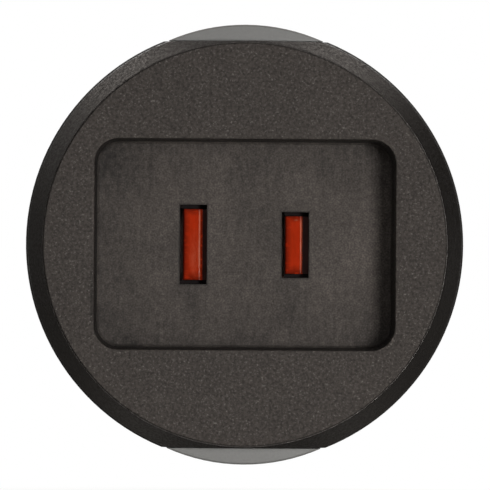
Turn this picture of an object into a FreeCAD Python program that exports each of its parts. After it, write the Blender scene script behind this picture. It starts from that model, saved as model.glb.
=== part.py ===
import FreeCAD, Part
import math
import os

from FreeCAD import Vector

# Travel plug adapter: a two-blade socket in a recessed well at the front, a round two-pin plug at the rear.
# Millimetres. X is right as seen from the front, Z is up, Y runs from the front face back to the pins.
# The origin is the centre of the plug's end face, between the pins. Depths count back from the front face.

# Front cover
cover_diameter = 54.0
cover_depth = 14.0
rim_width = 2.25
rim_depth = 3.0
rim_edge_break = 0.5
seam_width = 0.15
seam_depth = 0.15
flat_depth = 2.0
flat_draft = 0.5
face_wall = 2.0
side_wall = 2.0
flat_wall = 1.9

# Well for the plug of the appliance
well_width = 37.0
well_height = 25.9
well_depth = 8.0
well_corner_radius = 3.0
well_draft = 1.2
well_mouth_break = 0.1
well_floor_break = 0.3
well_wall = 1.4
floor_wall = 1.3

# Blades of the appliance's plug and their slots
blade_spacing = 12.7
blade_thickness = 1.52
neutral_blade_width = 7.94
slot_width = 3.36
neutral_slot_height = 9.9
line_slot_height = 8.2

# Shutter, pushed back and to the right by the blades
slide_angle = 60.0
slide_travel = 4.6
nose_setback = 0.6
neutral_nose_width = 2.37
neutral_nose_height = 8.85
neutral_nose_shift = 0.04
line_nose_width = 2.14
line_nose_height = 7.2
line_nose_shift = 0.17
nose_edge_break = 0.15
neutral_nose_bevel = 0.36
line_nose_bevel = 0.18
bridge_gap = 1.7
bridge_thickness = 2.0
bridge_border = 1.1
bridge_rail = 1.4
blade_clearance = 0.2
lug_length = 2.2
lug_width = 1.6
lug_end_reach = 0.4
lug_margin = 0.5
guide_clearance = 0.15
stop_rib_width = 2.4
stop_rib_length = 3.0
stop_clearance = 0.05

# Spring that returns the shutter
spring_diameter = 4.0
spring_wire = 0.35
spring_wire_sides = 4
spring_turns = 3.0
spring_clearance = 0.2
spring_end_gap = 0.05
spring_track_depth = 0.5
spring_cup_depth = 1.0

# Inner plate between shutter and contacts
plate_gap = 0.5
plate_thickness = 2.0
plate_width = 31.0
plate_height = 23.0
plate_corner_radius = 3.0
cheek_thickness = 2.0
cheek_length = 21.6
cheek_gap = 0.3
window_clearance = 0.5
post_width = 1.2
post_height = 2.4
post_clearance = 0.1

# Stamped contacts
sheet_thickness = 0.6
contact_mouth_gap = 0.5
mouth_half_opening = 1.5
pinch_half_opening = 0.62
leaf_half_opening = 1.5
mouth_length = 2.4
pinch_length = 4.0
leaf_root_length = 2.4
leaf_drop = 2.0
spine_gap = 0.6
strap_border = 2.4

# Plug pins
pin_spacing = 19.0
pin_diameter = 4.8
pin_length = 19.0
pin_dome_height = 1.6
shank_diameter = 5.6
collar_diameter = 6.4
collar_thickness = 1.4
tail_diameter = 3.0
rivet_diameter = 4.0
rivet_height = 0.8
pin_clearance = 0.03

# Rear body: flange outside the wall, boss inside the wall socket
flange_step = 0.2
crown_radius = 23.5
crown_setback = 0.05
crown_clearance = 0.1
crown_edge_break = 0.2
flange_wall = 2.5
flange_rear_break = 1.2
boss_diameter = 37.0
boss_length = 16.5
boss_edge_break = 0.8
chamber_gap = 0.3
groove_width = 5.6
groove_depth = 2.6
notch_width = 6.0
notch_depth = 2.4
earth_recess_diameter = 6.6
earth_recess_offset = 10.0
earth_recess_depth = 15.0
lip_height = 1.5
lip_wall = 1.2
lip_clearance = 0.1

# Fasteners
case_screw_x = 11.0
case_screw_z = 19.2
case_screw_diameter = 2.6
case_screw_length = 12.0
case_head_diameter = 4.8
case_head_height = 1.9
case_boss_diameter = 6.0
counterbore_depth = 3.0
plate_screw_x = 13.0
plate_screw_z = 9.2
plate_screw_diameter = 2.2
plate_screw_length = 7.5
plate_head_diameter = 3.8
plate_head_height = 1.3
screw_clearance = 0.02
shank_passage = 0.15
head_clearance = 0.2
hole_end_gap = 0.6

# Length by which a tool runs past the face that it cuts
overcut = 1.0

# Depths, each from the piece in front of it
slide_x = slide_travel * math.cos(math.radians(slide_angle))
slide_back = slide_travel * math.sin(math.radians(slide_angle))
floor_rear = well_depth + floor_wall
nose_front = well_depth + nose_setback
bridge_front = floor_rear + bridge_gap
bridge_rear = bridge_front + bridge_thickness
plate_front = bridge_rear + slide_back + plate_gap
plate_rear = plate_front + plate_thickness
flange_rear = plate_rear + flange_wall
plug_face = flange_rear + boss_length
mouth_front = plate_rear + contact_mouth_gap
pinch_depth = mouth_front + mouth_length
leaf_root = pinch_depth + pinch_length
leaf_rear = leaf_root + leaf_root_length
strap_front = leaf_rear + leaf_drop
strap_rear = strap_front + sheet_thickness
chamber_rear = strap_rear + collar_thickness

flat_offset = cover_diameter / 2 - flat_depth
flange_radius = cover_diameter / 2 + flange_step
blade_x = blade_spacing / 2
pin_x = pin_spacing / 2
neutral_nose_x = -blade_x - neutral_nose_shift
line_nose_x = blade_x - line_nose_shift
blade_window_half = blade_thickness / 2 + blade_clearance
bridge_window_half_height = neutral_blade_width / 2 + window_clearance
bridge_half_height = bridge_window_half_height + bridge_rail
bridge_left = -blade_x - slide_x - blade_window_half - bridge_border
bridge_right = line_nose_x + line_nose_width / 2 + bridge_border
cheek_inner = bridge_half_height + cheek_gap
cheek_outer = cheek_inner + cheek_thickness
contact_half_width = leaf_half_opening + sheet_thickness
spine_bottom = neutral_blade_width / 2 + spine_gap
spine_top = spine_bottom + sheet_thickness
chamber_inner_x = blade_x - contact_half_width - chamber_gap
chamber_outer_x = pin_x + collar_diameter / 2 + chamber_gap
chamber_half_height = spine_top + chamber_gap
strap_outer_x = pin_x + strap_border
head_seat = flange_rear - counterbore_depth


def y_at(depth):
    return depth - plug_face


def block(x_range, depth_range, z_range):
    corner = Vector(x_range[0], y_at(depth_range[0]), z_range[0])
    return Part.makeBox(
        x_range[1] - x_range[0],
        depth_range[1] - depth_range[0],
        z_range[1] - z_range[0],
        corner,
    )


def rod(diameter, depth_range, x=0.0, z=0.0):
    length = depth_range[1] - depth_range[0]
    foot = Vector(x, y_at(depth_range[0]), z)
    return Part.makeCylinder(diameter / 2, length, foot, Vector(0, 1, 0))


def turned(profile, x=0.0, z=0.0):
    # Revolves (radius, depth) points round an axis along Y. A third value breaks that corner by its length.
    places = [Vector(x + corner[0], y_at(corner[1]), z) for corner in profile]
    points = []
    for index, corner in enumerate(profile):
        place = places[index]
        if len(corner) == 2:
            points.append(place)
            continue
        for neighbour in (places[index - 1], places[(index + 1) % len(places)]):
            points.append(place + (neighbour - place).normalize() * corner[2])
    outline = Part.makePolygon(points + points[:1])
    return Part.Face(outline).revolve(Vector(x, 0, z), Vector(0, 1, 0), 360)


def sheet_profile(points, z_range):
    # Extrudes an outline of (x, depth) points along Z
    corners = [Vector(x, y_at(depth), z_range[0]) for x, depth in points]
    outline = Part.makePolygon(corners + corners[:1])
    return Part.Face(outline).extrude(Vector(0, 0, z_range[1] - z_range[0]))


def rounded_rectangle(width, height, radius, depth):
    y = y_at(depth)
    reach = radius * math.sqrt(0.5)
    edges = []
    corners = [(1, 1), (-1, 1), (-1, -1), (1, -1)]
    arcs = []
    for sign_x, sign_z in corners:
        centre_x = sign_x * (width / 2 - radius)
        centre_z = sign_z * (height / 2 - radius)
        on_side = Vector(sign_x * width / 2, y, centre_z)
        middle = Vector(centre_x + sign_x * reach, y, centre_z + sign_z * reach)
        on_end = Vector(centre_x, y, sign_z * height / 2)
        ends = (on_side, on_end) if sign_x == sign_z else (on_end, on_side)
        arcs.append((ends[0], middle, ends[1]))
    for index, (start, middle, end) in enumerate(arcs):
        edges.append(Part.Arc(start, middle, end).toShape())
        following = arcs[(index + 1) % len(arcs)][0]
        edges.append(Part.LineSegment(end, following).toShape())
    return Part.Wire(edges)


def rounded_block(width, height, radius, depth_range):
    outline = rounded_rectangle(width, height, radius, depth_range[0])
    return Part.Face(outline).extrude(Vector(0, depth_range[1] - depth_range[0], 0))


def between_flats(inset):
    # Wedge of space between the drafted flats at top and bottom, moved in by the inset
    front, rear = -overcut, cover_depth + overcut
    slope = math.tan(math.radians(flat_draft))
    half_front = flat_offset - inset + front * slope
    half_rear = flat_offset - inset + rear * slope
    left = -cover_diameter
    corners = [
        Vector(left, y_at(front), -half_front),
        Vector(left, y_at(front), half_front),
        Vector(left, y_at(rear), half_rear),
        Vector(left, y_at(rear), -half_rear),
    ]
    outline = Part.makePolygon(corners + corners[:1])
    return Part.Face(outline).extrude(Vector(2 * cover_diameter, 0, 0))


def well_space():
    # Drafted space of the well, broken at its mouth and at its floor
    slope = math.tan(math.radians(well_draft))

    def section(depth, inset):
        drawn_in = inset + depth * slope
        width = well_width - 2 * drawn_in
        height = well_height - 2 * drawn_in
        return rounded_rectangle(width, height, well_corner_radius - drawn_in, depth)

    mouth = [section(-overcut, -well_mouth_break), section(0, -well_mouth_break)]
    walls = [section(well_mouth_break, 0), section(well_depth - well_floor_break, 0)]
    floor = [section(well_depth, well_floor_break)]
    return Part.makeLoft(mouth + walls + floor, True, True)


def case_screw_places():
    return [(-case_screw_x, -case_screw_z), (case_screw_x, case_screw_z)]


def plate_screw_places():
    return [(-plate_screw_x, plate_screw_z), (plate_screw_x, -plate_screw_z)]


def cover_shell():
    cover_r = cover_diameter / 2
    face_r = cover_r - rim_width
    # A fine seam runs round the face, where the conical rim begins
    rim_start = seam_width * rim_depth / rim_width
    outside = turned(
        [
            (0, 0),
            (face_r, 0),
            (face_r, rim_start + seam_depth),
            (face_r + seam_width, rim_start + seam_depth),
            (face_r + seam_width, rim_start),
            (cover_r, rim_depth, rim_edge_break),
            (cover_r, cover_depth),
            (0, cover_depth),
        ]
    )
    inside = turned(
        [
            (0, face_wall),
            (face_r - side_wall, face_wall),
            (cover_r - side_wall, rim_depth + face_wall),
            (cover_r - side_wall, cover_depth + overcut),
            (0, cover_depth + overcut),
        ]
    )
    return outside.common(between_flats(0)).cut(inside.common(between_flats(flat_wall)))


def front_cover():
    box_width = well_width + 2 * well_wall
    box_height = well_height + 2 * well_wall
    box_depths = (face_wall, floor_rear)
    well_box = rounded_block(box_width, box_height, well_corner_radius + well_wall, box_depths)
    cover = cover_shell().fuse(well_box)
    for x, z in case_screw_places():
        cover = cover.fuse(rod(case_boss_diameter, (face_wall / 2, cover_depth), x, z))
    rib_depths = (well_depth + floor_wall / 2, bridge_front - stop_clearance)
    rib_half = stop_rib_width / 2
    for side in (-1, 1):
        ends = sorted((side * bridge_half_height, side * (bridge_half_height - stop_rib_length)))
        cover = cover.fuse(block((-rib_half, rib_half), rib_depths, ends))
    cover = cover.cut(well_space())
    slot_depths = (well_depth - overcut, floor_rear + overcut)
    for x, height in ((-blade_x, neutral_slot_height), (blade_x, line_slot_height)):
        half = slot_width / 2
        cover = cover.cut(block((x - half, x + half), slot_depths, (-height / 2, height / 2)))
    hole_end = head_seat - case_screw_length - hole_end_gap
    for x, z in case_screw_places():
        hole = case_screw_diameter + 2 * screw_clearance
        cover = cover.cut(rod(hole, (hole_end, cover_depth + overcut), x, z))
    return cover.removeSplitter()


def slide_bar(x, length_front, length_rear, width, z_range):
    # Bar along the shutter's slide, from a point in the middle of the bridge
    middle = Vector(x, y_at((bridge_front + bridge_rear) / 2), 0)
    bar = Part.makeBox(
        length_front + length_rear,
        width,
        z_range[1] - z_range[0],
        Vector(-length_front, -width / 2, z_range[0]),
    )
    bar.rotate(Vector(0, 0, 0), Vector(0, 0, 1), slide_angle)
    bar.translate(middle)
    return bar


def lug_places():
    half_span = (lug_length + lug_width) / 2
    return (bridge_left + half_span + lug_margin, bridge_right - half_span - lug_margin)


def nose(x, width, height, bevel):
    left, right = x - width / 2, x + width / 2
    outline = [
        (left, bridge_rear - bridge_thickness / 2),
        (left, nose_front + nose_edge_break),
        (left + nose_edge_break, nose_front),
        (right - bevel, nose_front),
        (right, nose_front + bevel),
        (right, bridge_rear - bridge_thickness / 2),
    ]
    return sheet_profile(outline, (-height / 2, height / 2))


def shutter():
    bridge_depths = (bridge_front, bridge_rear)
    half_height = bridge_half_height
    body = block((bridge_left, bridge_right), bridge_depths, (-half_height, half_height))
    cut_depths = (bridge_front - overcut, bridge_rear + overcut)
    window_z = (-bridge_window_half_height, bridge_window_half_height)
    for x in (-blade_x, blade_x):
        middle = x - slide_x
        window_x = (middle - blade_window_half, middle + blade_window_half)
        body = body.cut(block(window_x, cut_depths, window_z))
    body = body.fuse(nose(neutral_nose_x, neutral_nose_width, neutral_nose_height, neutral_nose_bevel))
    body = body.fuse(nose(line_nose_x, line_nose_width, line_nose_height, line_nose_bevel))
    tip = cheek_outer + lug_end_reach
    for x in lug_places():
        for z_range in ((-tip, -half_height + lug_width / 2), (half_height - lug_width / 2, tip)):
            body = body.fuse(slide_bar(x, lug_length / 2, lug_length / 2, lug_width, z_range))
    track_half = spring_diameter / 2 + spring_clearance
    track_depths = (bridge_rear - spring_track_depth, bridge_rear + overcut)
    body = body.cut(rod(2 * track_half, track_depths, -slide_x))
    body = body.cut(rod(2 * track_half, track_depths))
    body = body.cut(block((-slide_x, 0), track_depths, (-track_half, track_half)))
    return body.removeSplitter()


def shutter_spring():
    front = bridge_rear - spring_track_depth + spring_end_gap
    rear = plate_front + spring_cup_depth - spring_end_gap
    radius = (spring_diameter - spring_wire) / 2
    height = rear - front - spring_wire
    helix = Part.makeHelix(height / spring_turns, height, radius)
    angles = [math.radians(360 * index / spring_wire_sides) for index in range(spring_wire_sides)]
    rim = [Vector(math.cos(angle), 0, math.sin(angle)) * (spring_wire / 2) for angle in angles]
    section = Part.makePolygon([Vector(radius, 0, 0) + point for point in rim + rim[:1]])
    coil = Part.Wire(helix).makePipeShell([section], True, True)
    coil.rotate(Vector(0, 0, 0), Vector(1, 0, 0), -90)
    coil.translate(Vector(0, y_at(front + spring_wire / 2), 0))
    return coil


def inner_plate():
    plate = rounded_block(plate_width, plate_height, plate_corner_radius, (plate_front, plate_rear))
    cheek_x = (-cheek_length / 2, cheek_length / 2)
    cheek_depths = (floor_rear + cheek_gap, plate_rear)
    reach = slide_travel + lug_length / 2 + guide_clearance
    slot_width_z = lug_width + 2 * guide_clearance
    for side in (-1, 1):
        z_range = sorted((side * cheek_inner, side * cheek_outer))
        cheek = block(cheek_x, cheek_depths, z_range)
        cut_z = (z_range[0] - overcut, z_range[1] + overcut)
        for x in lug_places():
            cheek = cheek.cut(slide_bar(x, cheek_length / 2, reach, slot_width_z, cut_z))
        plate = plate.fuse(cheek)
    through = (plate_front - overcut, plate_rear + overcut)
    window_half_z = neutral_blade_width / 2 + window_clearance
    for side in (-1, 1):
        middle = side * blade_x
        window_x = (middle - blade_window_half, middle + blade_window_half)
        plate = plate.cut(block(window_x, through, (-window_half_z, window_half_z)))
        post_x = sorted((side * strap_outer_x, side * (strap_outer_x - post_width)))
        post_z = (spine_top - post_height, spine_top)
        post = block(post_x, (plate_rear - plate_thickness / 2, strap_front - post_clearance), post_z)
        plate = plate.fuse(post)
    cup = spring_diameter + 2 * spring_clearance
    plate = plate.cut(rod(cup, (plate_front - overcut, plate_front + spring_cup_depth)))
    for x, z in plate_screw_places():
        plate = plate.cut(rod(plate_screw_diameter + 2 * shank_passage, through, x, z))
    return plate.removeSplitter()


def contact(side):
    # Folded strip: two leaves hang from a spine over the blade's edge. Its tail is riveted to the pin.
    def leaf(face):
        def at(opening):
            return side * blade_x + face * opening

        inner = [
            (mouth_half_opening, mouth_front),
            (pinch_half_opening, pinch_depth),
            (leaf_half_opening, leaf_root),
            (leaf_half_opening, leaf_rear),
        ]
        outer = [(opening + sheet_thickness, depth) for opening, depth in reversed(inner)]
        points = [(at(opening), depth) for opening, depth in inner + outer]
        return sheet_profile(points, (-spine_bottom + sheet_thickness, spine_bottom))

    middle = side * blade_x
    spine_x = (middle - contact_half_width, middle + contact_half_width)
    spine = block(spine_x, (leaf_root, strap_rear), (spine_bottom, spine_top))
    root_z = (spine_bottom - sheet_thickness, spine_top)
    leaves = leaf(-1).fuse(leaf(1))
    root = block(spine_x, (leaf_root, leaf_rear), root_z)
    gap_x = (middle - leaf_half_opening, middle + leaf_half_opening)
    root = root.cut(block(gap_x, (leaf_root - overcut, leaf_rear + overcut), (0, spine_bottom)))
    strap_x = sorted((side * (blade_x - contact_half_width), side * strap_outer_x))
    strap = block(strap_x, (strap_front, strap_rear), (-strap_border, spine_top))
    hole = rod(
        tail_diameter + 2 * pin_clearance,
        (strap_front - overcut, strap_rear + overcut),
        side * pin_x,
    )
    return leaves.fuse(root).fuse(spine).fuse(strap).cut(hole).removeSplitter()


def pin(side):
    x = side * pin_x
    radius = pin_diameter / 2
    wall_end = plug_face + pin_length - pin_dome_height
    profile = [
        (0, strap_front - rivet_height),
        (rivet_diameter / 2, strap_front - rivet_height),
        (rivet_diameter / 2, strap_front),
        (tail_diameter / 2, strap_front),
        (tail_diameter / 2, strap_rear),
        (collar_diameter / 2, strap_rear),
        (collar_diameter / 2, chamber_rear),
        (shank_diameter / 2, chamber_rear),
        (shank_diameter / 2, plug_face),
        (radius, plug_face),
        (radius, wall_end),
        (0, wall_end),
    ]
    dome_radius = (radius**2 + pin_dome_height**2) / (2 * pin_dome_height)
    ball = Part.makeSphere(dome_radius, Vector(x, y_at(wall_end + pin_dome_height - dome_radius), 0))
    dome = ball.common(rod(2 * dome_radius, (wall_end, wall_end + dome_radius), x))
    return turned(profile, x).fuse(dome).removeSplitter()


def flange():
    # Round flange. A crown at top and bottom reaches forward along the cover's flat, with a rounder outline.
    body = turned(
        [
            (0, cover_depth),
            (flange_radius, cover_depth),
            (flange_radius, flange_rear, flange_rear_break),
            (0, flange_rear),
        ]
    )
    root = cover_depth + flange_wall / 2
    outline = [(0, rim_depth), (crown_radius, rim_depth, crown_edge_break), (crown_radius, root), (0, root)]
    for side in (-1, 1):
        crown = turned(outline, 0, side * (flange_radius - crown_setback - crown_radius))
        body = body.fuse(crown.cut(between_flats(-crown_clearance)))
    return body


def lip_space(inset, depth_range):
    # Space inside the cover's wall, moved in by the inset
    space = rod(cover_diameter - 2 * (side_wall + inset), depth_range)
    return space.common(between_flats(flat_wall + inset))


def boss():
    radius = boss_diameter / 2
    body = turned(
        [(0, plate_rear), (radius, plate_rear), (radius, plug_face, boss_edge_break), (0, plug_face)]
    )
    cut_depths = (flange_rear, plug_face + overcut)
    groove_z = (-groove_width / 2, groove_width / 2)
    notch_x = (-notch_width / 2, notch_width / 2)
    for side in (-1, 1):
        groove_x = sorted((side * (radius - groove_depth), side * (radius + overcut)))
        body = body.cut(block(groove_x, cut_depths, groove_z))
        notch_z = sorted((side * (radius - notch_depth), side * (radius + overcut)))
        body = body.cut(block(notch_x, cut_depths, notch_z))
    return body


def rear_body():
    lip_front = cover_depth - lip_height
    lip = lip_space(lip_clearance, (lip_front, cover_depth + flange_wall / 2))
    body = flange().fuse(lip).fuse(boss())
    body = body.cut(lip_space(lip_clearance + lip_wall, (lip_front - overcut, cover_depth)))
    hollow_top = flat_offset - flat_wall - lip_clearance - lip_wall
    hollow = rod(cover_diameter - 2 * (side_wall + lip_clearance + lip_wall), (cover_depth, plate_rear))
    slab = block((-cover_diameter, cover_diameter), (cover_depth, plate_rear), (-hollow_top, hollow_top))
    body = body.cut(hollow.common(slab))
    for x, z in case_screw_places():
        around_boss = case_boss_diameter + 2 * head_clearance
        body = body.cut(rod(around_boss, (lip_front - overcut, cover_depth), x, z))
        body = body.fuse(rod(case_boss_diameter, (cover_depth, plate_rear), x, z))
    for x, z in case_screw_places():
        passage = case_screw_diameter + 2 * shank_passage
        body = body.cut(rod(passage, (cover_depth - overcut, flange_rear + overcut), x, z))
        head_space = case_head_diameter + 2 * head_clearance
        body = body.cut(rod(head_space, (head_seat, flange_rear + overcut), x, z))
    for x, z in plate_screw_places():
        hole = plate_screw_diameter + 2 * screw_clearance
        hole_end = plate_front + plate_screw_length + hole_end_gap
        body = body.cut(rod(hole, (plate_rear - overcut, hole_end), x, z))
    chamber_z = (-chamber_half_height, chamber_half_height)
    for side in (-1, 1):
        chamber_x = sorted((side * chamber_inner_x, side * chamber_outer_x))
        body = body.cut(block(chamber_x, (plate_rear - overcut, chamber_rear), chamber_z))
        shank_hole = shank_diameter + 2 * pin_clearance
        body = body.cut(rod(shank_hole, (chamber_rear - overcut, plug_face + overcut), side * pin_x))
    recess = (plug_face - earth_recess_depth, plug_face + overcut)
    body = body.cut(rod(earth_recess_diameter, recess, 0, earth_recess_offset))
    return body.removeSplitter()


def pan_screw(x, z, seat, toward, sizes):
    # Screw whose head's underside lies at the seat, with its shank running toward -1 (front) or 1 (rear)
    diameter, length, head_diameter, head_height = sizes
    head = rod(head_diameter, sorted((seat, seat - toward * head_height)), x, z)
    shank = rod(diameter, sorted((seat, seat + toward * length)), x, z)
    return head.fuse(shank).removeSplitter()


def case_screws():
    sizes = (case_screw_diameter, case_screw_length, case_head_diameter, case_head_height)
    return Part.makeCompound([pan_screw(x, z, head_seat, -1, sizes) for x, z in case_screw_places()])


def plate_screws():
    sizes = (plate_screw_diameter, plate_screw_length, plate_head_diameter, plate_head_height)
    return Part.makeCompound([pan_screw(x, z, plate_front, 1, sizes) for x, z in plate_screw_places()])


pieces = {
    "front_cover": front_cover(),
    "rear_body": rear_body(),
    "inner_plate": inner_plate(),
    "shutter": shutter(),
    "shutter_spring": shutter_spring(),
    "neutral_contact": contact(-1),
    "line_contact": contact(1),
    "neutral_pin": pin(-1),
    "line_pin": pin(1),
    "case_screws": case_screws(),
    "plate_screws": plate_screws(),
}

os.makedirs("parts", exist_ok=True)
for name, shape in pieces.items():
    shape.exportStep(os.path.join("parts", name + ".step"))
    print(name, len(shape.Solids), "solid(s)", round(shape.Volume, 1), "mm3", shape.isValid())
print("front face to plug face", round(plug_face, 2), "mm")
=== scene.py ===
import bpy
import math
from mathutils import Matrix, Vector


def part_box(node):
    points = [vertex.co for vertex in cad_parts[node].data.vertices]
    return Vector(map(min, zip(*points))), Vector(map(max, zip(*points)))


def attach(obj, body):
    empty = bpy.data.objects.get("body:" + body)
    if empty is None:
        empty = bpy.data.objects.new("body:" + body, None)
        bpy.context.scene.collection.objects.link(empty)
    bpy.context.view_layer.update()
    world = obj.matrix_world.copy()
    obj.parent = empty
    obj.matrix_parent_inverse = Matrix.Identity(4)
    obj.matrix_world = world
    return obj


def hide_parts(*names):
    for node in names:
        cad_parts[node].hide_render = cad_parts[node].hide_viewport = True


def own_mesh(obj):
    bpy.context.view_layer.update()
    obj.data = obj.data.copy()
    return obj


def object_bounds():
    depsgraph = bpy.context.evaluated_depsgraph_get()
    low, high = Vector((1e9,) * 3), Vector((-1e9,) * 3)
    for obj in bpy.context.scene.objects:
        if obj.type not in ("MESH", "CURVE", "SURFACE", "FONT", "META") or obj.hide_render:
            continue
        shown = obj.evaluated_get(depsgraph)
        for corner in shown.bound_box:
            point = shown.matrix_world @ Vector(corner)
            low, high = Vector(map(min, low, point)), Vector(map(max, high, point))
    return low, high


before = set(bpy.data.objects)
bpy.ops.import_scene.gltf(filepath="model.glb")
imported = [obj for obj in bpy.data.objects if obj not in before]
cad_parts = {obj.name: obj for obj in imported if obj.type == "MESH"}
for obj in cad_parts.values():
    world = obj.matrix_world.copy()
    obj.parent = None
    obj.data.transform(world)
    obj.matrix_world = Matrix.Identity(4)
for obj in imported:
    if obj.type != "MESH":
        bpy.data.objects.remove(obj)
cadLow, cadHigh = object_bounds()
mm = 0.001
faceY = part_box("front_cover")[0].y  # plane of the black front face
print("frame loaded with", len(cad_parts), "nodes")


# general helpers

meshLook = {
    "weldReach": 0.002 * mm,  # corners closer than this become one
    "flatAngle": 0.4,  # faces that differ by fewer degrees become one
    "squareOn": 0.9,  # share of y in the normal of a face that looks along y
}


def chooseOnly(piece):
    bpy.ops.object.select_all(action="DESELECT")
    piece.select_set(True)
    bpy.context.view_layer.objects.active = piece


def selectFaces(piece, test):
    # faces are chosen in object mode, then edit mode sees the choice
    bpy.ops.object.mode_set(mode="EDIT")
    bpy.ops.mesh.select_mode(type="FACE")
    bpy.ops.mesh.select_all(action="DESELECT")
    bpy.ops.object.mode_set(mode="OBJECT")
    for face in piece.data.polygons:
        face.select = test(face)
    bpy.ops.object.mode_set(mode="EDIT")


def looksForward(face):
    return face.normal.y < -meshLook["squareOn"]


def looksBack(face):
    return face.normal.y > meshLook["squareOn"]


def applyModifier(piece, kind, **values):
    modifier = piece.modifiers.new(kind.lower(), kind)
    for name, value in values.items():
        setattr(modifier, name, value)
    chooseOnly(piece)
    bpy.ops.object.modifier_apply(modifier=modifier.name)


def mouldedCopy(nodeName, pieceName, look):
    # the solid's own mesh, merged into clean faces and given round edges
    piece = bpy.data.objects.new(pieceName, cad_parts[nodeName].data.copy())
    bpy.context.scene.collection.objects.link(piece)
    chooseOnly(piece)
    bpy.ops.object.mode_set(mode="EDIT")
    bpy.ops.mesh.select_all(action="SELECT")
    bpy.ops.mesh.remove_doubles(threshold=meshLook["weldReach"])
    bpy.ops.mesh.dissolve_limited(angle_limit=math.radians(meshLook["flatAngle"]))
    bpy.ops.mesh.customdata_custom_splitnormals_clear()
    bpy.ops.object.mode_set(mode="OBJECT")
    # a face that goes all round an opening is split, or its rounding would close the opening
    selectFaces(piece, lambda face: len(face.vertices) > look["mostCorners"])
    bpy.ops.mesh.quads_convert_to_tris(ngon_method="BEAUTY")
    bpy.ops.object.mode_set(mode="OBJECT")
    applyModifier(
        piece,
        "BEVEL",
        width=look["edgeRound"],
        segments=look["edgeSteps"],
        limit_method="ANGLE",
        angle_limit=math.radians(look["edgeAngle"]),
    )
    bpy.ops.object.shade_smooth_by_angle(angle=math.radians(look["smoothAngle"]))
    print(pieceName, "faces", len(piece.data.polygons))
    return piece


def finishPiece(piece, body, slotName, material, *nodeNames):
    piece.data.materials.clear()
    piece.data.materials.append(material)
    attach(piece, body)
    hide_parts(*nodeNames)


# material helpers

softBand = (0.30, 0.70)  # most of a noise lies between these
hardBand = (0.35, 0.65)  # a narrower band, for patches with harder edges


def newMaterial(name):
    material = bpy.data.materials.new(name)
    material.use_nodes = True
    tree = material.node_tree
    shader = tree.nodes["Principled BSDF"]
    place = tree.nodes.new("ShaderNodeTexCoord").outputs["Object"]
    return material, tree, shader, place


def connect(tree, node, inputs):
    # a socket is linked, a plain value is set
    for name, value in inputs.items():
        if isinstance(value, bpy.types.NodeSocket):
            tree.links.new(value, node.inputs[name])
        else:
            node.inputs[name].default_value = value


def addNode(tree, kind, inputs, **settings):
    made = tree.nodes.new("ShaderNode" + kind)
    for name, value in settings.items():
        setattr(made, name, value)
    connect(tree, made, inputs)
    return made


def calc(tree, operation, first, second=0.0, third=0.0):
    inputs = {0: first, 1: second, 2: third}
    return addNode(tree, "Math", inputs, operation=operation).outputs[0]


def chain(tree, operation, first, *others):
    # the same operation with one value after another
    for other in others:
        first = calc(tree, operation, first, other)
    return first


def away(tree, value, middle):
    # distance from a middle, to either side
    return calc(tree, "ABSOLUTE", calc(tree, "SUBTRACT", value, middle))


def remap(tree, value, fromLow, fromHigh, toLow, toHigh):
    inputs = {0: value, 1: fromLow, 2: fromHigh, 3: toLow, 4: toHigh}
    return addNode(tree, "MapRange", inputs).outputs[0]


def varied(tree, value, amount, middle=1.0):
    # a noise that wavers by an amount round a middle
    return remap(tree, value, *softBand, middle - amount, middle + amount)


def blend(tree, factor, low, high):
    return addNode(tree, "Mix", {0: factor, 2: low, 3: high}).outputs[0]


def tint(tree, factor, low, high):
    inputs = {0: factor, 6: low, 7: high}
    return addNode(tree, "Mix", inputs, data_type="RGBA").outputs[2]


def scaled(tree, colour, factor):
    made = addNode(tree, "VectorMath", {0: colour, "Scale": factor}, operation="SCALE")
    return made.outputs[0]


def noise(tree, place, size, detail, roughness):
    inputs = {"Vector": place, "Scale": 1.0 / size, "Detail": detail, "Roughness": roughness}
    return addNode(tree, "TexNoise", inputs).outputs["Fac"]


def stretched(tree, place, scale):
    return addNode(tree, "Mapping", {"Vector": place, "Scale": scale}).outputs[0]


def blob(tree, place, centre, reach):
    # soft spot, 1 at its centre and 0 at its reach
    shift = [-c / r for c, r in zip(centre, reach)]
    inputs = {"Vector": place, "Location": shift, "Scale": [1.0 / r for r in reach]}
    moved = addNode(tree, "Mapping", inputs).outputs[0]
    return addNode(tree, "TexGradient", {"Vector": moved}, gradient_type="SPHERICAL").outputs["Fac"]


def bump(tree, shader, height, depth, strength=1.0):
    made = addNode(tree, "Bump", {"Height": height, "Distance": depth, "Strength": strength})
    connect(tree, shader, {"Normal": made.outputs[0]})


def patchyFinish(name, look):
    # one noise leads colour, roughness and relief
    material, tree, shader, place = newMaterial(name)
    patches = noise(tree, place, *look["patches"])
    share = remap(tree, patches, *hardBand, 0.0, 1.0)
    connect(tree, shader, {
        "Metallic": look["metallic"],
        "Base Color": tint(tree, share, look["colour"], look["paleColour"]),
        "Roughness": varied(tree, patches, look["roughVariation"], look["roughness"]),
    })
    bump(tree, shader, patches, look["patchDepth"])
    return material


# black front moulding

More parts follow.
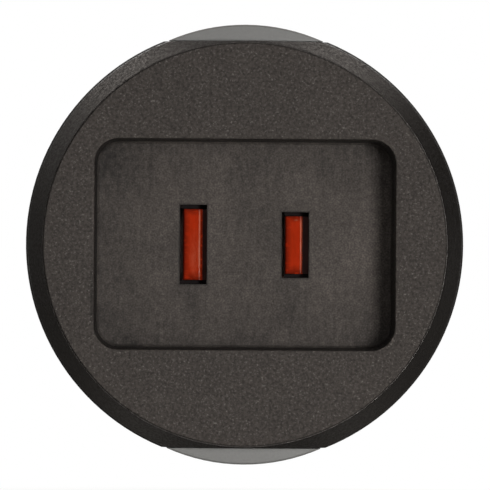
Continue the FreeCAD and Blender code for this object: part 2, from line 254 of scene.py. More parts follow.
coverLook = {
    "edgeRound": 0.04 * mm,
    "edgeSteps": 2,
    "edgeAngle": 30.0,
    "smoothAngle": 14.0,  # keeps the conical rim apart from its edge
    "mostCorners": 400,  # a face with more is split
    "faceColour": (0.0275, 0.0232, 0.0204),
    # painted shade: the rim, its side and the well's walls get this colour, several times darker
    # than the face's, for surfaces that turn away from the lamps
    "shadedRimColour": (0.0048, 0.0040, 0.0034),
    # pale specks of the grain, partly painted glints
    "speckGlintColour": (0.110, 0.100, 0.092, 1.0),
    "shineTint": (1.0, 0.92, 0.86, 1.0),
    "floorLift": 1.50,  # the well's floor is rubbed paler than the face
    # where each finish starts
    "faceRadius": 24.8 * mm,
    "sideRadius": 26.75 * mm,  # the rim's rounding and the side wall lie beyond it
    "wellHalf": (18.7 * mm, 13.2 * mm),
    "wellDepth": 8.0 * mm,
    "wallStart": 0.08 * mm,  # the well's walls begin this far behind the face
    "floorBreak": 0.32 * mm,  # the break at the floor's edge has the floor's finish
    # noises: size, detail, roughness
    "grain": (0.34 * mm, 3.0, 0.6),
    "fine": (0.21 * mm, 1.0, 0.4),
    "mottle": (0.8 * mm, 4.0, 0.7),
    "cloud": (3.6 * mm, 3.0, 0.55),
    "streak": (0.5 * mm, 2.0, 0.5),
    "streakStretch": (1.0, 1.0, 0.14),  # streaks run up and down
    # how much each noise lightens and darkens
    "faceGrain": 0.52,
    "faceCloud": 0.06,
    "rimGrain": 0.40,
    "floorFine": 0.38,
    "floorMottle": 0.30,
    "floorCloud": 0.20,
    "floorStreak": 0.16,
    # bright specks, partly the grain's own and partly painted glints, where the fine noise and the
    # grain are both high
    "speckFine": (0.58, 0.74),
    "speckGrain": (0.42, 0.62),
    "speckLeast": 0.2,
    "faceSpecks": 0.8,
    "floorSpecks": 0.2,
    "faceRoughness": 0.84,
    "floorRoughness": 0.80,
    "flatVariation": 0.05,
    "rimRoughness": 0.53,
    "rimVariation": 0.20,
    "sideRoughness": 0.90,
    # relief of the grain, with a share of the fine noise; it is full on the face
    "grainDepth": 0.045 * mm,
    "fineShare": 0.5,
    "heightBand": (0.5, 1.0),
    "floorRelief": 0.7,
    "rimRelief": 0.8,
    "sideRelief": 0.15,
    # painted shade: dark line round the face, for the shade at the edge between face and rim: where
    # it starts and is full, how dark, how much more matt
    "edgeShadeBand": (24.60 * mm, 24.70 * mm),
    "edgeShade": 0.3,
    "edgeMatt": 0.2,
    # slots: middle, half width, half height; painted shade darkens the floor along their edges
    "slots": ((-6.35 * mm, 1.68 * mm, 4.95 * mm), (6.35 * mm, 1.68 * mm, 4.1 * mm)),
    "slotShadeWidth": 0.26 * mm,
    "slotShade": 0.25,
    # smudges on the well's floor, with painted shade and painted light: x, z, half width, half
    # height in millimetres, how much lighter
    "smudgesAndShade": (
        # painted shade: the floor darkens towards its walls and into its corners
        (0.0, 15.0, 60.0, 9.0, -0.40),
        (0.0, -15.0, 60.0, 8.0, -0.34),
        (-19.0, 0.0, 9.0, 40.0, -0.48),
        (0.0, -13.4, 60.0, 2.6, -0.22),
        (-15.5, 11.0, 7.0, 6.0, -0.32),
        (-15.5, -11.5, 6.0, 5.0, -0.20),
        (15.0, 12.0, 8.0, 6.0, -0.12),
        (15.0, -12.0, 8.0, 5.0, -0.10),
        # smudges and streaks round the slots
        (2.6, 1.2, 5.0, 6.0, -0.16),
        (-6.2, -9.0, 1.6, 6.0, -0.16),
        (5.9, -7.4, 2.6, 4.0, -0.20),
        (-6.35, 6.0, 2.8, 2.4, -0.30),
        (-6.3, -5.8, 2.6, 1.8, -0.14),
        (5.9, -4.9, 2.8, 2.0, -0.22),
        (6.3, 4.9, 2.4, 1.6, -0.10),
        # painted light: the floor's right part is lighter, as the key lamp falls from the right; a
        # paler patch lies below the left slot
        (14.6, 0.0, 5.0, 9.0, 0.16),
        (11.5, -7.0, 6.0, 5.0, 0.10),
        (-3.4, -6.8, 4.0, 4.0, 0.10),
    ),
    "smudgeAndShadeDepth": 30.0 * mm,
    # marks at the well's mouth, in the same order: a painted highlight on the left edge, a worn
    # band, painted glints on four burrs, painted shade in two nicks
    "mouthMarksAndLight": (
        (-18.66, 3.6, 0.20, 7.0, 0.55),
        (-18.75, -6.0, 0.34, 5.5, -0.75),
        (18.12, -11.5, 0.22, 0.60, 1.6),
        (16.92, -12.62, 0.65, 0.22, 1.6),
        (-15.9, -12.6, 0.40, 0.16, 0.9),
        (18.2, 12.45, 0.20, 0.20, 0.9),
        (-7.54, 13.05, 0.40, 0.20, -0.9),
        (18.72, -4.4, 0.16, 0.60, -0.9),
    ),
    "markDepth": 1.2 * mm,
    "paleMarkBand": (1.05, 1.40),  # where painted highlights and glints make the mouth this much lighter, the wall has the face's finish
}


def marked(tree, place, level, marks, y, depth):
    # a level that soft marks make lighter or darker
    for x, z, halfWidth, halfHeight, lighter in marks:
        reach = (halfWidth * mm, depth, halfHeight * mm)
        spot = blob(tree, place, (x * mm, y, z * mm), reach)
        level = calc(tree, "MULTIPLY_ADD", spot, lighter, level)
    return level


def coverZones(tree, place, look):
    # where each finish lies, 1 in its zone and 0 elsewhere, and how marks, painted light and
    # painted shade change it
    x, y, z = addNode(tree, "SeparateXYZ", {0: place}).outputs
    inWide = calc(tree, "LESS_THAN", calc(tree, "ABSOLUTE", x), look["wellHalf"][0])
    inHigh = calc(tree, "LESS_THAN", calc(tree, "ABSOLUTE", z), look["wellHalf"][1])
    deep = calc(tree, "GREATER_THAN", y, faceY + look["wellDepth"] - look["floorBreak"])
    below = calc(tree, "GREATER_THAN", y, faceY + look["wallStart"])
    shallow = calc(tree, "SUBTRACT", 1.0, deep)
    onWall = chain(tree, "MULTIPLY", inWide, inHigh, below, shallow)
    squares = calc(tree, "ADD", calc(tree, "POWER", x, 2.0), calc(tree, "POWER", z, 2.0))
    beyondFace = calc(tree, "GREATER_THAN", squares, look["faceRadius"] ** 2)
    mouth = marked(tree, place, 1.0, look["mouthMarksAndLight"], faceY, look["markDepth"])
    # walls under the painted highlight and glints take the face's colour in place of the rim's
    # painted shade
    awayFromPaleMarks = remap(tree, mouth, *look["paleMarkBand"], 1.0, 0.0)
    edgeStart, edgeFull = look["edgeShadeBand"]
    return {
        "floor": chain(tree, "MULTIPLY", inWide, inHigh, deep),
        # painted shade: the well's walls share the rim's darker colour
        "rim": calc(tree, "MULTIPLY", calc(tree, "MAXIMUM", beyondFace, onWall), awayFromPaleMarks),
        "side": calc(tree, "GREATER_THAN", squares, look["sideRadius"] ** 2),
        # painted shade at the edge between face and rim
        "edge": remap(tree, squares, edgeStart ** 2, edgeFull ** 2, 1.0, look["edgeShade"]),
        "mouth": mouth,
    }


def slotEdgeShade(tree, place, look):
    # painted shade on the floor along the slots' edges
    x, _, z = addNode(tree, "SeparateXYZ", {0: place}).outputs
    paintedShade = 1.0
    for middle, half, halfHeight in look["slots"]:
        beside = calc(tree, "SUBTRACT", away(tree, x, middle), half)
        above = calc(tree, "SUBTRACT", calc(tree, "ABSOLUTE", z), halfHeight)
        outside = calc(tree, "MAXIMUM", beside, above)
        dirt = remap(tree, outside, 0.0, look["slotShadeWidth"], look["slotShade"], 1.0)
        paintedShade = calc(tree, "MULTIPLY", paintedShade, dirt)
    return paintedShade


def floorTone(tree, place, look, fine, cloud):
    # mottling, clouds, streaks, smudges with painted shade and light, and painted shade round the
    # slots
    mottle = noise(tree, place, *look["mottle"])
    streak = noise(tree, stretched(tree, place, look["streakStretch"]), *look["streak"])
    tone = chain(
        tree,
        "ADD",
        varied(tree, mottle, look["floorMottle"], 0.0),
        varied(tree, cloud, look["floorCloud"], 0.0),
        varied(tree, streak, look["floorStreak"]),
    )
    floorY = faceY + look["wellDepth"]
    tone = marked(tree, place, tone, look["smudgesAndShade"], floorY, look["smudgeAndShadeDepth"])
    paintedShade = slotEdgeShade(tree, place, look)
    floorFine = varied(tree, fine, look["floorFine"])
    return chain(tree, "MULTIPLY", tone, look["floorLift"], paintedShade, floorFine)


def coverColour(tree, place, look, zones, grain, fine):
    # spark-eroded grain, with bright specks, partly painted glints, that are weaker on the floor
    cloud = noise(tree, place, *look["cloud"])
    faceTone = chain(
        tree,
        "MULTIPLY",
        varied(tree, grain, look["faceGrain"]),
        varied(tree, cloud, look["faceCloud"]),
        zones["mouth"],
        zones["edge"],
    )
    specks = chain(
        tree,
        "MULTIPLY",
        remap(tree, fine, *look["speckFine"], 0.0, 1.0),
        remap(tree, grain, *look["speckGrain"], look["speckLeast"], 1.0),
        remap(tree, zones["floor"], 0.0, 1.0, look["faceSpecks"], look["floorSpecks"]),
        zones["edge"],
    )
    tone = blend(tree, zones["floor"], faceTone, floorTone(tree, place, look, fine, cloud))
    textured = tint(tree, specks, scaled(tree, look["faceColour"], tone), look["speckGlintColour"])
    rimTone = calc(tree, "MULTIPLY", varied(tree, grain, look["rimGrain"]), zones["mouth"])
    # painted shade: the rim, its side and the well's walls take the darker rim colour
    return tint(tree, zones["rim"], textured, scaled(tree, look["shadedRimColour"], rimTone))


def coverRoughness(tree, look, zones, grain, height):
    # high grains are rubbed smoother, and the painted shade line round the face is matt
    flat = chain(
        tree,
        "ADD",
        blend(tree, zones["floor"], look["faceRoughness"], look["floorRoughness"]),
        varied(tree, grain, -look["flatVariation"], 0.0),
        remap(tree, zones["edge"], look["edgeShade"], 1.0, look["edgeMatt"], 0.0),
    )
    roughest = look["rimRoughness"] + look["rimVariation"]
    smoothest = look["rimRoughness"] - look["rimVariation"]
    rim = remap(tree, height, *look["heightBand"], roughest, smoothest)
    return blend(tree, zones["rim"], flat, blend(tree, zones["side"], rim, look["sideRoughness"]))


def coverRelief(tree, look, zones):
    relief = calc(tree, "MULTIPLY_ADD", zones["floor"], look["floorRelief"] - 1.0, 1.0)
    relief = calc(tree, "MULTIPLY_ADD", zones["rim"], look["rimRelief"] - 1.0, relief)
    return calc(tree, "MULTIPLY_ADD", zones["side"], look["sideRelief"] - look["rimRelief"], relief)


def blackMoulding(look):
    material, tree, shader, place = newMaterial("blackMoulding")
    zones = coverZones(tree, place, look)
    grain = noise(tree, place, *look["grain"])
    fine = noise(tree, place, *look["fine"])
    height = calc(tree, "MULTIPLY_ADD", fine, look["fineShare"], grain)
    connect(tree, shader, {
        "Base Color": coverColour(tree, place, look, zones, grain, fine),
        "Roughness": coverRoughness(tree, look, zones, grain, height),
        "Specular Tint": look["shineTint"],
    })
    bump(tree, shader, height, look["grainDepth"], coverRelief(tree, look, zones))
    return material


frontCover = mouldedCopy("front_cover", "frontCover", coverLook)
finishPiece(frontCover, "case", "black_plastic", blackMoulding(coverLook), "front_cover")


# grey rear moulding

bodyLook = {
    "edgeRound": 0.08 * mm,
    "edgeSteps": 3,
    "edgeAngle": 30.0,
    "smoothAngle": 14.0,  # keeps the flat faces apart from their roundings
    "mostCorners": 80,
    "colour": (0.139, 0.137, 0.130, 1.0),
    "paleColour": (0.164, 0.161, 0.153, 1.0),
    "grain": (0.26 * mm, 2.0, 0.6),  # noises: size, detail, roughness
    "cloud": (6.0 * mm, 3.0, 0.5),
    "grainShare": 0.6,  # how much of the paler colour each noise brings
    "cloudShare": 0.4,
    "roughness": 0.6,
    "roughVariation": 0.06,
    "grainDepth": 0.010 * mm,
}


def greyMoulding(look):
    material, tree, shader, place = newMaterial("greyMoulding")
    grain = noise(tree, place, *look["grain"])
    cloud = noise(tree, place, *look["cloud"])
    grainPart = remap(tree, grain, *softBand, 0.0, look["grainShare"])
    cloudPart = remap(tree, cloud, *hardBand, 0.0, look["cloudShare"])
    share = calc(tree, "ADD", grainPart, cloudPart)
    connect(tree, shader, {
        "Base Color": tint(tree, share, look["colour"], look["paleColour"]),
        "Roughness": varied(tree, cloud, look["roughVariation"], look["roughness"]),
    })
    bump(tree, shader, grain, look["grainDepth"])
    return material


rearBody = mouldedCopy("rear_body", "rearBody", bodyLook)
finishPiece(rearBody, "case", "grey_plastic", greyMoulding(bodyLook), "rear_body")


# red shutter

shutterLook = {
    "edgeRound": 0.08 * mm,
    "edgeSteps": 3,
    "edgeAngle": 30.0,
    "smoothAngle": 6.0,  # keeps the noses' fronts flat
    "mostCorners": 400,
    "colour": (0.280, 0.0175, 0.0032, 1.0),
    # worn rubbing on the left nose, and the pale lines along the ridges, which are rubbed edges
    # with a painted highlight
    "wornAndHighlightColour": (0.300, 0.085, 0.042, 1.0),
    # painted shade on the noses' roundings and lower ends
    "edgeShadeColour": (0.080, 0.006, 0.002, 1.0),
    "shadeColour": (0.0045, 0.0018, 0.0015, 1.0),  # painted shade above and below the noses
    "besideShadeColour": (0.066, 0.028, 0.025, 1.0),  # painted shade in the gaps beside the noses, less dark than above and below
    "gloss": 0.07,
    "roughness": 0.10,
    "ridgeRoughness": 0.35,  # what the rubbed line with its painted highlight adds
    "gapShadeRoughness": 0.50,  # what the painted shade behind the fronts adds
    "pittingDepth": 0.005 * mm,
    # noises: size, detail, roughness
    "scuff": (0.55 * mm, 4.0, 0.65),
    "scuffStretch": (1.0, 1.0, 0.35),
    "scuffShade": 0.12,
    "pits": (0.18 * mm, 2.0, 0.5),
    "glints": (0.45 * mm, 2.0, 0.5),
    "glintStretch": (0.4, 0.4, 1.0),
    "glintBand": (0.55, 0.68),
    "glintShade": 0.35,  # what is left of a dark edge where it glints
    # each nose: middle, half width, half height, bevel
    "noses": {
        "left": (-6.39 * mm, 1.185 * mm, 4.425 * mm, 0.36 * mm),
        "right": (6.18 * mm, 1.07 * mm, 3.6 * mm, 0.18 * mm),
    },
    "frontDepth": 8.6 * mm,
    # the left nose is rubbed pale towards its lower end: right of its middle, height, reach
    "wornSide": 0.3 * mm,
    "wornHeight": -1.5 * mm,
    "wornReach": (1.1 * mm, 3.0 * mm, 3.8 * mm),
    "wornScuff": (0.38, 0.62),
    "wornRange": (0.15, 0.85),
    "wornShare": 0.5,
    # pale line along the right edge of each front: a rubbed edge with a painted highlight
    "ridgeLine": (0.04 * mm, 0.18 * mm),
    "ridgeScuff": (0.35, 0.60),
    "ridgeRange": (0.25, 0.75),
    # painted shade on the roundings, darker towards the lower end: how far they reach into the
    # front and how dark they get
    "rightEdge": (0.05 * mm, 0.16 * mm),
    "rightDark": 0.9,
    "sideEdge": 0.85 * mm,
    "sideDark": 0.95,
    "footEdge": 1.19 * mm,
    "footDark": 1.0,
    # small bright chip at the top of the right nose
    "chip": (6.45 * mm, 3.12 * mm),
    "chipReach": (0.32 * mm, 1.0 * mm, 0.16 * mm),
    # painted shade behind the fronts: where it starts and is full
    "gapShadeDepth": (0.25 * mm, 0.9 * mm),
}


def noseMarks(tree, place, look):
    # rubbed lines with painted highlights, painted shade on the roundings, and the gaps beside both
    # noses
    x, _, z = addNode(tree, "SeparateXYZ", {0: place}).outputs
    reach = calc(tree, "ABSOLUTE", z)
    inwards = look["sideEdge"]
    ridges, edges, beside = 0.0, 0.0, 0.0
    for middle, half, halfHeight, bevel in look["noses"].values():
        onNose = calc(tree, "LESS_THAN", away(tree, x, middle), 2 * half)
        across = calc(tree, "SUBTRACT", x, middle + half - bevel)
        line = remap(tree, calc(tree, "ABSOLUTE", across), *look["ridgeLine"], 1.0, 0.0)
        ridges = calc(tree, "ADD", line, ridges)
        right = remap(tree, across, *look["rightEdge"], 0.0, look["rightDark"])
        left = remap(tree, x, middle - half, middle - half + inwards, look["sideDark"], 0.0)
        top = remap(tree, z, halfHeight - inwards, halfHeight, 0.0, look["sideDark"])
        foot = remap(tree, z, look["footEdge"] - halfHeight, -halfHeight, 0.0, look["footDark"])
        around = chain(tree, "MAXIMUM", right, left, top, foot)
        edges = calc(tree, "MULTIPLY_ADD", around, onNose, edges)
        level = calc(tree, "MULTIPLY", calc(tree, "LESS_THAN", reach, halfHeight), onNose)
        beside = calc(tree, "MAXIMUM", level, beside)
    return ridges, edges, beside


def paleMarks(tree, place, look, frontY, scuff, ridges):
    # the worn end of the left nose, the rubbed lines with their painted highlights, and the chip
    wornX = look["noses"]["left"][0] + look["wornSide"]
    worn = blob(tree, place, (wornX, frontY, look["wornHeight"]), look["wornReach"])
    worn = calc(tree, "MULTIPLY", worn, remap(tree, scuff, *look["wornScuff"], *look["wornRange"]))
    chipX, chipZ = look["chip"]
    chip = blob(tree, place, (chipX, frontY, chipZ), look["chipReach"])
    marks = calc(tree, "MULTIPLY_ADD", worn, look["wornShare"], calc(tree, "ADD", ridges, chip))
    return calc(tree, "MINIMUM", marks, 1.0)


def redMoulding(look):
    material, tree, shader, place = newMaterial("redMoulding")
    depthIn = addNode(tree, "SeparateXYZ", {0: place}).outputs[1]
    frontY = faceY + look["frontDepth"]
    scuff = noise(tree, stretched(tree, place, look["scuffStretch"]), *look["scuff"])
    glints = noise(tree, stretched(tree, place, look["glintStretch"]), *look["glints"])
    pits = noise(tree, place, *look["pits"])

    ridges, edges, beside = noseMarks(tree, place, look)
    scuffed = remap(tree, scuff, *look["ridgeScuff"], *look["ridgeRange"])
    ridges = calc(tree, "MULTIPLY", ridges, scuffed)
    pale = paleMarks(tree, place, look, frontY, scuff, ridges)
    colour = tint(tree, pale, look["colour"], look["wornAndHighlightColour"])
    # painted shade on the roundings, broken by painted glints
    glinting = remap(tree, glints, *look["glintBand"], 1.0, look["glintShade"])
    dark = calc(tree, "MINIMUM", calc(tree, "MULTIPLY", edges, glinting), 1.0)
    colour = tint(tree, dark, colour, look["edgeShadeColour"])

    # painted shade on what lies behind the slots, less dark beside the noses
    shadeStart, shadeFull = look["gapShadeDepth"]
    low = remap(tree, depthIn, frontY + shadeStart, frontY + shadeFull, 0.0, 1.0)
    paintedShade = tint(tree, beside, look["shadeColour"], look["besideShadeColour"])
    colour = scaled(tree, tint(tree, low, colour, paintedShade), varied(tree, scuff, look["scuffShade"]))
    # the rubbed lines, which carry the painted highlights, are rougher
    rubbed = calc(tree, "MINIMUM", ridges, 1.0)
    rough = calc(tree, "MULTIPLY_ADD", rubbed, look["ridgeRoughness"], look["roughness"])
    connect(tree, shader, {
        "Base Color": colour,
        "Roughness": calc(tree, "MULTIPLY_ADD", low, look["gapShadeRoughness"], rough),
        "Specular IOR Level": look["gloss"],
    })
    bump(tree, shader, calc(tree, "ADD", pits, scuff), look["pittingDepth"])
    return material


shutter = mouldedCopy("shutter", "shutterSlider", shutterLook)
finishPiece(shutter, "shutter", "red_plastic", redMoulding(shutterLook), "shutter")


# turned and plated pins

pinLook = {
    "edgeRound": 0.25 * mm,
    "edgeSteps": 3,
    "edgeAngle": 30.0,
    "smoothAngle": 30.0,
    "mostCorners": 400,
    "colour": (0.62, 0.60, 0.56, 1.0),
    "rubbedColour": (0.74, 0.72, 0.68, 1.0),
    "rings": (0.14 * mm, 2.0, 0.5),  # noises: size, detail, roughness
    "ringStretch": (0.02, 1.0, 0.02),
    "rub": (0.5 * mm, 3.0, 0.6),
    "rubStretch": (1.0, 0.12, 1.0),
    "roughness": 0.27,
    "rubVariation": 0.08,  # how much each noise changes the roughness
    "ringVariation": 0.04,
    "turningDepth": 0.0015 * mm,
}


def platedMetal(look):
    material, tree, shader, place = newMaterial("platedMetal")
    rings = noise(tree, stretched(tree, place, look["ringStretch"]), *look["rings"])
    rub = noise(tree, stretched(tree, place, look["rubStretch"]), *look["rub"])
    share = remap(tree, rub, *hardBand, 0.0, 1.0)
    rubbed = varied(tree, rub, look["rubVariation"], look["roughness"])
    turned = varied(tree, rings, look["ringVariation"], 0.0)
    connect(tree, shader, {
        "Metallic": 1.0,
        "Base Color": tint(tree, share, look["colour"], look["rubbedColour"]),
        "Roughness": calc(tree, "ADD", rubbed, turned),
    })
    bump(tree, shader, rings, look["turningDepth"])
    return material


pinMetal = platedMetal(pinLook)
for nodeName, pieceName in (("neutral_pin", "neutralPin"), ("line_pin", "linePin")):
    finishPiece(mouldedCopy(nodeName, pieceName, pinLook), "case", "plated_pin", pinMetal, nodeName)


# case screws with a cross recess

screwLook = {
    "sides": 48,
    "shankRadius": 1.3 * mm,
    "headRadius": 2.4 * mm,
    "headHeight": 1.9 * mm,
    "headRound": 0.7 * mm,
    "headSteps": 5,
    "headProfile": 0.5,
    "smoothAngle": 30.0,
    "recessReach": 2.6 * mm,
    "recessWidth": 0.62 * mm,
    "recessDepth": 1.0 * mm,
    "recessTaper": 0.55,
    "turns": (12.0, 57.0),  # the way each recess came to rest, in degrees
    "colour": (0.40, 0.40, 0.39, 1.0),
    "paleColour": (0.56, 0.56, 0.54, 1.0),
    "metallic": 1.0,
    "patches": (0.6 * mm, 4.0, 0.65),  # spangle of the zinc: size, detail, roughness
    "patchDepth": 0.003 * mm,
    "roughness": 0.35,
    "roughVariation": 0.09,
}


def crossCutter(look, place, turn):
    # a bar, narrowed towards its inner end, and a second one across it
    bars = []
    for quarter in (0.0, 90.0):
        bpy.ops.object.select_all(action="DESELECT")
        bpy.ops.mesh.primitive_cube_add(size=1.0, location=place)
        bar = bpy.context.active_object
        bar.dimensions = (look["recessReach"], 2 * look["recessDepth"], look["recessWidth"])
        bar.rotation_euler = (0.0, math.radians(turn + quarter), 0.0)
        bpy.ops.object.transform_apply(location=False, rotation=False, scale=True)
        selectFaces(bar, looksForward)
        bpy.ops.transform.resize(value=(look["recessTaper"], 1.0, look["recessTaper"]))
        bpy.ops.object.mode_set(mode="OBJECT")
        bpy.ops.object.transform_apply(location=True, rotation=True, scale=True)
        bars.append(bar)
    return bars


def panScrew(look, x, z, frontY, rearY, turn):
    seatY = rearY - look["headHeight"]
    bpy.ops.object.select_all(action="DESELECT")
    bpy.ops.mesh.primitive_cylinder_add(
        vertices=look["sides"],
        radius=look["headRadius"],
        depth=look["headHeight"],
        location=(x, (rearY + seatY) / 2, z),
        rotation=(-math.pi / 2, 0.0, 0.0),
    )
    screw = bpy.context.active_object
    bpy.ops.object.transform_apply(location=True, rotation=True, scale=True)
    # shank drawn out of the head's underside
    selectFaces(screw, looksForward)
    bpy.ops.mesh.inset(thickness=look["headRadius"] - look["shankRadius"])
    bpy.ops.mesh.extrude_region_move(TRANSFORM_OT_translate={"value": (0.0, frontY - seatY, 0.0)})
    bpy.ops.object.mode_set(mode="OBJECT")
    # pan shape of the head's top
    selectFaces(screw, looksBack)
    bpy.ops.mesh.bevel(
        offset=look["headRound"],
        segments=look["headSteps"],
        profile=look["headProfile"],
    )
    bpy.ops.object.mode_set(mode="OBJECT")
    for bar in crossCutter(look, Vector((x, rearY, z)), turn):
        applyModifier(screw, "BOOLEAN", object=bar, operation="DIFFERENCE", solver="EXACT")
        bpy.data.objects.remove(bar)
    return screw


# one screw in each of two opposite corners of their box
screwLow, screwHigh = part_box("case_screws")
headRadius = screwLook["headRadius"]
screwPlaces = (
    (screwLow.x + headRadius, screwLow.z + headRadius),
    (screwHigh.x - headRadius, screwHigh.z - headRadius),
)
screws = [
    panScrew(screwLook, x, z, screwLow.y, screwHigh.y, turn)
    for (x, z), turn in zip(screwPlaces, screwLook["turns"])
]
chooseOnly(screws[0])
screws[1].select_set(True)
bpy.ops.object.join()
caseScrews = screws[0]
caseScrews.name = "caseScrews"
bpy.ops.object.shade_smooth_by_angle(angle=math.radians(screwLook["smoothAngle"]))
screwSteel = patchyFinish("zincSteel", screwLook)
finishPiece(caseScrews, "case", "screw_steel", screwSteel, "case_screws")
print("caseScrews faces", len(caseScrews.data.polygons))


# inner pieces keep their solids and get a finish

plateLook = {
    "colour": (0.115, 0.042, 0.031, 1.0),
    "paleColour": (0.170, 0.064, 0.049, 1.0),
    "metallic": 0.0,
    "patches": (0.4 * mm, 3.0, 0.6),  # size, detail, roughness
    "patchDepth": 0.008 * mm,
    "roughness": 0.50,
    "roughVariation": 0.08,
}
contactLook = {
    "colour": (0.56, 0.37, 0.13, 1.0),
    "paleColour": (0.74, 0.54, 0.24, 1.0),
    "metallic": 1.0,
    "patches": (0.8 * mm, 3.0, 0.6),
    "patchDepth": 0.004 * mm,
    "roughness": 0.32,
    "roughVariation": 0.08,
}
contactBrass = patchyFinish("contactBrass", contactLook)
innerFinishes = {
    "inner_plate": patchyFinish("innerMoulding", plateLook),
    "neutral_contact": contactBrass,
    "line_contact": contactBrass,
    "plate_screws": screwSteel,
}
for nodeName, material in innerFinishes.items():
    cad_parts[nodeName].material_slots[0].material = material
print("inner finishes set")


# the spring is a copy of its solid, with a mesh of its own

springLook = {
    "edgeRound": 0.02 * mm,
    "edgeSteps": 1,
    "edgeAngle": 60.0,
    "smoothAngle": 60.0,
    "mostCorners": 400,
    "colour": (0.36, 0.36, 0.37, 1.0),
    "paleColour": (0.58, 0.58, 0.58, 1.0),
    "metallic": 1.0,
    "patches": (0.3 * mm, 3.0, 0.6),  # size, detail, roughness
    "patchDepth": 0.002 * mm,
    "roughness": 0.30,
    "roughVariation": 0.08,
}
shutterSpring = mouldedCopy("shutter_spring", "shutterSpring", springLook)
springSteel = patchyFinish("springWire", springLook)
finishPiece(shutterSpring, "case", "spring_steel", springSteel, "shutter_spring")
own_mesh(shutterSpring)


# stage

stageLook = {
    "floorDrop": 6.3 * mm,  # gap under the adapter, which hangs by its plug
    "floorSize": 4.0,
    "floorColour": (0.80, 0.80, 0.79),
    "floorGrain": (0.05, 2.0, 0.5),  # noise: size, detail, roughness
    "floorVariation": 0.01,
    "bounceColour": (0.17, 0.17, 0.165, 1.0),  # what the floor sends back to the adapter
    "cardColour": (0.90, 0.90, 0.88, 1.0),  # white card that lies before the adapter
    "cardPlace": (0.0, faceY - 0.025, 0.0),
    "cardReach": (0.055, 0.045, 1.0),
    "cardEdge": 0.3,  # share of the reach over which the card fades out
    "shadowPlace": (0.0, -0.03, 0.0),
    "shadowReach": (0.10, 0.06, 1.0),  # the floor's own shading shows here and fades out to white
    "backdropStart": 0.20,  # behind this, shiny pieces see the floor as the white backdrop
    "fill": 0.03,
    "backWhite": 0.88,  # glossy rays that leave backwards by more than this see the white backdrop
}
whiteLight = (1.0, 1.0, 1.0)
warmLight = (1.0, 0.955, 0.915)
# lamps: place, turn in degrees, width, height, watts, colour
lamps = {
    "keyStrip": ((0.126, faceY - 0.382, -0.005), (90, 0, 18.3), 0.084, 0.047, 1.45, whiteLight),
    "topRight": ((0.189, 0.09, 0.386), (30, 0, 122.5), 0.20, 0.20, 0.54, warmLight),
    "topLeft": ((-0.228, 0.09, 0.365), (35.2, 0, -117.8), 0.20, 0.20, 0.54, warmLight),
    "frontFill": ((0.0, faceY - 0.62, 0.11), (80, 0, 0), 0.06, 0.08, 0.42, whiteLight),
    "leftFill": ((-0.56, faceY - 0.20, 0.12), (78, 0, -70), 0.20, 0.28, 0.07, whiteLight),
    "sideBox": ((-0.48, 0.08, 0.28), (60, 0, -102), 0.22, 0.22, 0.18, whiteLight),
    "rearBox": ((0.0, 0.52, 0.30), (60, 0, 180), 0.40, 0.30, 2.4, whiteLight),
}


def paleFloor(look):
    material, tree, shader, place = newMaterial("paleFloor")
    tree.nodes.remove(shader)
    rays = tree.nodes.new("ShaderNodeLightPath").outputs
    # what the camera sees: the floor's shading near the adapter, white further out
    grain = noise(tree, place, *look["floorGrain"])
    colour = scaled(tree, look["floorColour"], varied(tree, grain, look["floorVariation"]))
    matt = addNode(tree, "BsdfDiffuse", {"Color": colour}).outputs[0]
    white = addNode(tree, "Emission", {"Strength": 1.0}).outputs[0]
    near = blob(tree, place, look["shadowPlace"], look["shadowReach"])
    shown = addNode(tree, "MixShader", {0: near, 1: white, 2: matt}).outputs[0]
    # what lights the adapter: a dim floor with the white card on it
    card = blob(tree, place, look["cardPlace"], look["cardReach"])
    card = remap(tree, card, 0.0, look["cardEdge"], 0.0, 1.0)
    bounceColour = tint(tree, card, look["bounceColour"], look["cardColour"])
    bounce = addNode(tree, "BsdfDiffuse", {"Color": bounceColour}).outputs[0]
    backwards = addNode(tree, "SeparateXYZ", {0: place}).outputs[1]
    behind = calc(tree, "GREATER_THAN", backwards, look["backdropStart"])
    shiny = calc(tree, "MAXIMUM", rays["Is Glossy Ray"], rays["Is Transmission Ray"])
    mirrored = calc(tree, "MULTIPLY", shiny, behind)
    seen = calc(tree, "MAXIMUM", rays["Is Camera Ray"], mirrored)
    mixed = addNode(tree, "MixShader", {0: seen, 1: bounce, 2: shown}).outputs[0]
    connect(tree, tree.nodes["Material Output"], {"Surface": mixed})
    return material


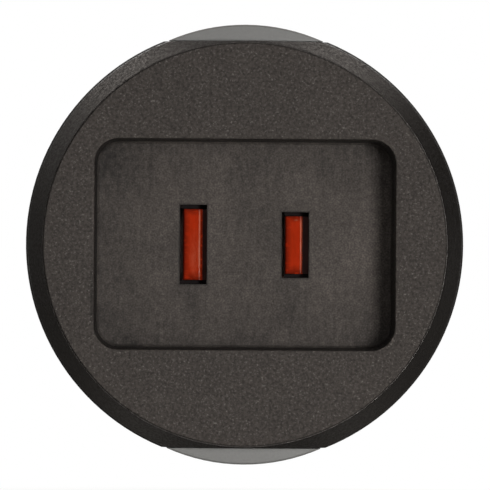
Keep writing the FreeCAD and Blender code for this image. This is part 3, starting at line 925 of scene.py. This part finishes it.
def studioWorld(look):
    world = bpy.data.worlds.new("studio")
    bpy.context.scene.world = world
    world.use_nodes = True
    tree = world.node_tree
    rays = tree.nodes.new("ShaderNodeLightPath").outputs
    heading = tree.nodes.new("ShaderNodeTexCoord").outputs["Generated"]
    backwards = addNode(tree, "SeparateXYZ", {0: heading}).outputs[1]
    behind = calc(tree, "GREATER_THAN", backwards, look["backWhite"])
    mirrored = calc(tree, "MULTIPLY", rays["Is Glossy Ray"], behind)
    seen = chain(tree, "MAXIMUM", rays["Is Camera Ray"], mirrored, rays["Is Transmission Ray"])
    connect(tree, tree.nodes["Background"], {
        "Color": (*whiteLight, 1.0),
        "Strength": remap(tree, seen, 0.0, 1.0, look["fill"], 1.0),
    })


def addLamp(name, place, turn, width, height, watts, colour):
    data = bpy.data.lights.new(name, "AREA")
    data.shape = "RECTANGLE"
    data.size = width
    data.size_y = height
    data.energy = watts
    data.color = colour
    lamp = bpy.data.objects.new(name, data)
    bpy.context.scene.collection.objects.link(lamp)
    lamp.location = place
    lamp.rotation_euler = [math.radians(angle) for angle in turn]
    lamp.visible_camera = False


bpy.ops.object.select_all(action="DESELECT")
floorHeight = cadLow.z - stageLook["floorDrop"]
bpy.ops.mesh.primitive_plane_add(size=stageLook["floorSize"], location=(0.0, 0.0, floorHeight))
floor = bpy.context.active_object
floor.name = "paleFloor"
floor.data.materials.append(paleFloor(stageLook))
studioWorld(stageLook)
for lampName, settings in lamps.items():
    addLamp(lampName, *settings)
print("stage set with", len(lamps), "lamps")


# camera, almost square to the front face

cameraLook = {
    "distance": 0.5,
    "side": -5.5 * mm,
    "height": -2.0 * mm,
    "aim": -0.06 * mm,  # height of the point that it looks at
    "roll": 0.35,  # degrees, as the adapter hangs a little askew in the picture
    "lens": 299.6,
    "sensor": 36.0,
}
cameraData = bpy.data.cameras.new("frontCamera")
cameraData.lens = cameraLook["lens"]
cameraData.sensor_width = cameraLook["sensor"]
camera = bpy.data.objects.new("frontCamera", cameraData)
bpy.context.scene.collection.objects.link(camera)
camera.location = (cameraLook["side"], faceY - cameraLook["distance"], cameraLook["height"])
sight = Vector((0.0, faceY, cameraLook["aim"])) - camera.location
rolled = Matrix.Rotation(math.radians(cameraLook["roll"]), 3, "Z")
camera.rotation_euler = (sight.to_track_quat("-Z", "Y").to_matrix() @ rolled).to_euler()
bpy.context.scene.camera = camera
bpy.context.scene.view_settings.view_transform = "Standard"
print("camera set")
